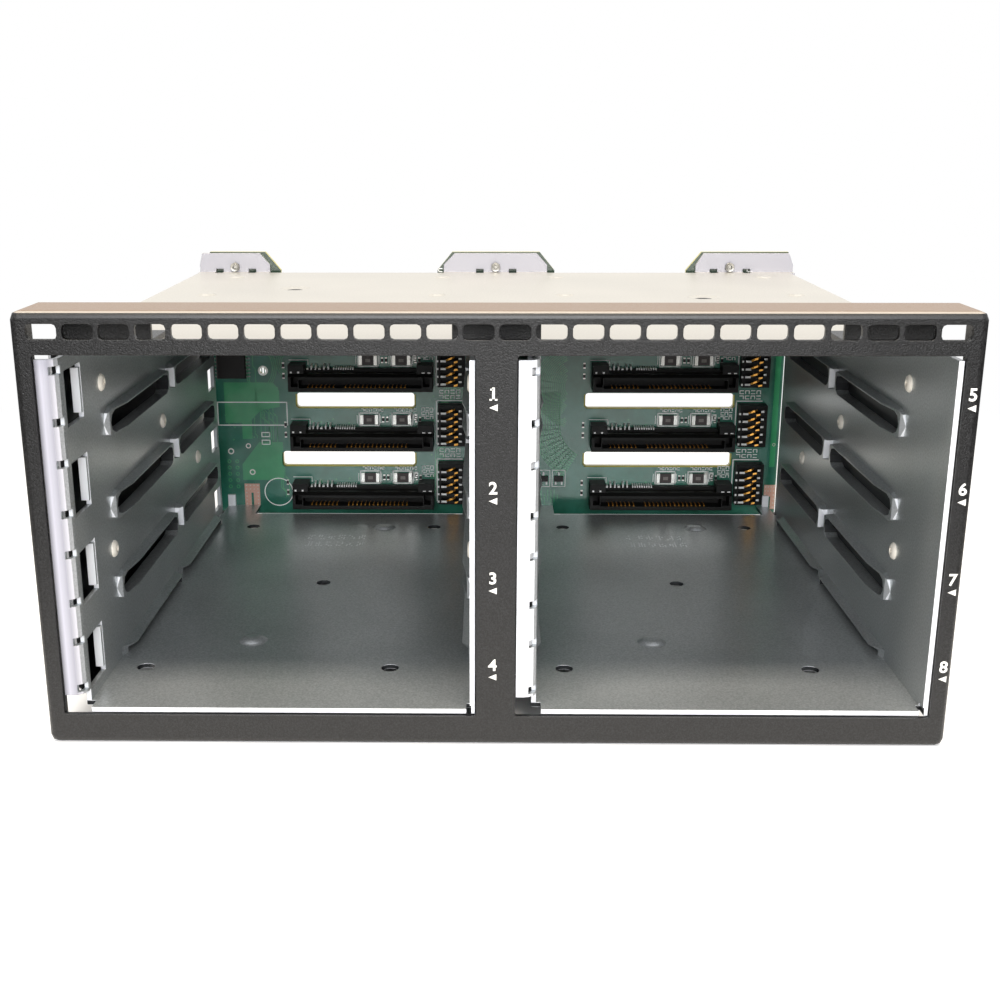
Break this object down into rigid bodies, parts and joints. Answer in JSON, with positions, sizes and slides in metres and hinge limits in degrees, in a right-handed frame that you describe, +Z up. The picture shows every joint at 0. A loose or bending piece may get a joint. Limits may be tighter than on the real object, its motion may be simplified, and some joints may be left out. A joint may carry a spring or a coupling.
{
  "type": "hot swap drive cage",
  "caption": "Sheet steel cage with a black vented bezel and two columns of hot swap bays for 2.5 inch drives, with a backplane board at the rear.",
  "frame": {"origin": "middle of the bottom of the cage's box; the bezel's bottom edge is at Z = 0", "axes": "+X to the right across the face, +Y from the bezel to the backplane, +Z up"},
  "size_m": [0.1804, 0.1596, 0.0874],
  "materials": {
    "zinc_steel": "bright zinc plated sheet steel, satin with soft grain",
    "black_powder_coat": "black fine texture powder coat",
    "rivet_metal": "plain aluminium rivets",
    "black_rivet": "black rivets",
    "screw_steel": "nickel plated screws",
    "board_laminate": "green solder mask over glass laminate",
    "connector_plastic": "black glass filled nylon",
    "chip_epoxy": "moulded epoxy chip",
    "filter_ceramic": "ceramic chip parts with tinned ends",
    "port_metal": "tinned steel cage",
    "header_plastic": "black nylon header"
  },
  "bodies": {
    "root": {"left_column_tray": "zinc_steel", "right_column_tray": "zinc_steel", "cage_shell": "zinc_steel", "divider_channel": "zinc_steel", "bezel_frame": "black_powder_coat", "wall_rivets": "rivet_metal", "bezel_rivets": "black_rivet", "board_screws": "screw_steel", "backplane_board": "board_laminate", "drive_connector_1": "connector_plastic", "contact_block_1": "connector_plastic", "drive_connector_2": "connector_plastic", "contact_block_2": "connector_plastic", "drive_connector_3": "connector_plastic", "contact_block_3": "connector_plastic", "drive_connector_4": "connector_plastic", "contact_block_4": "connector_plastic", "drive_connector_5": "connector_plastic", "contact_block_5": "connector_plastic", "drive_connector_6": "connector_plastic", "contact_block_6": "connector_plastic", "drive_connector_7": "connector_plastic", "contact_block_7": "connector_plastic", "drive_connector_8": "connector_plastic", "contact_block_8": "connector_plastic", "controller_chip": "chip_epoxy", "power_filters": "filter_ceramic", "data_port_left": "port_metal", "data_port_right": "port_metal", "power_header": "header_plastic", "signal_header": "header_plastic"}
  },
  "joints": []
}
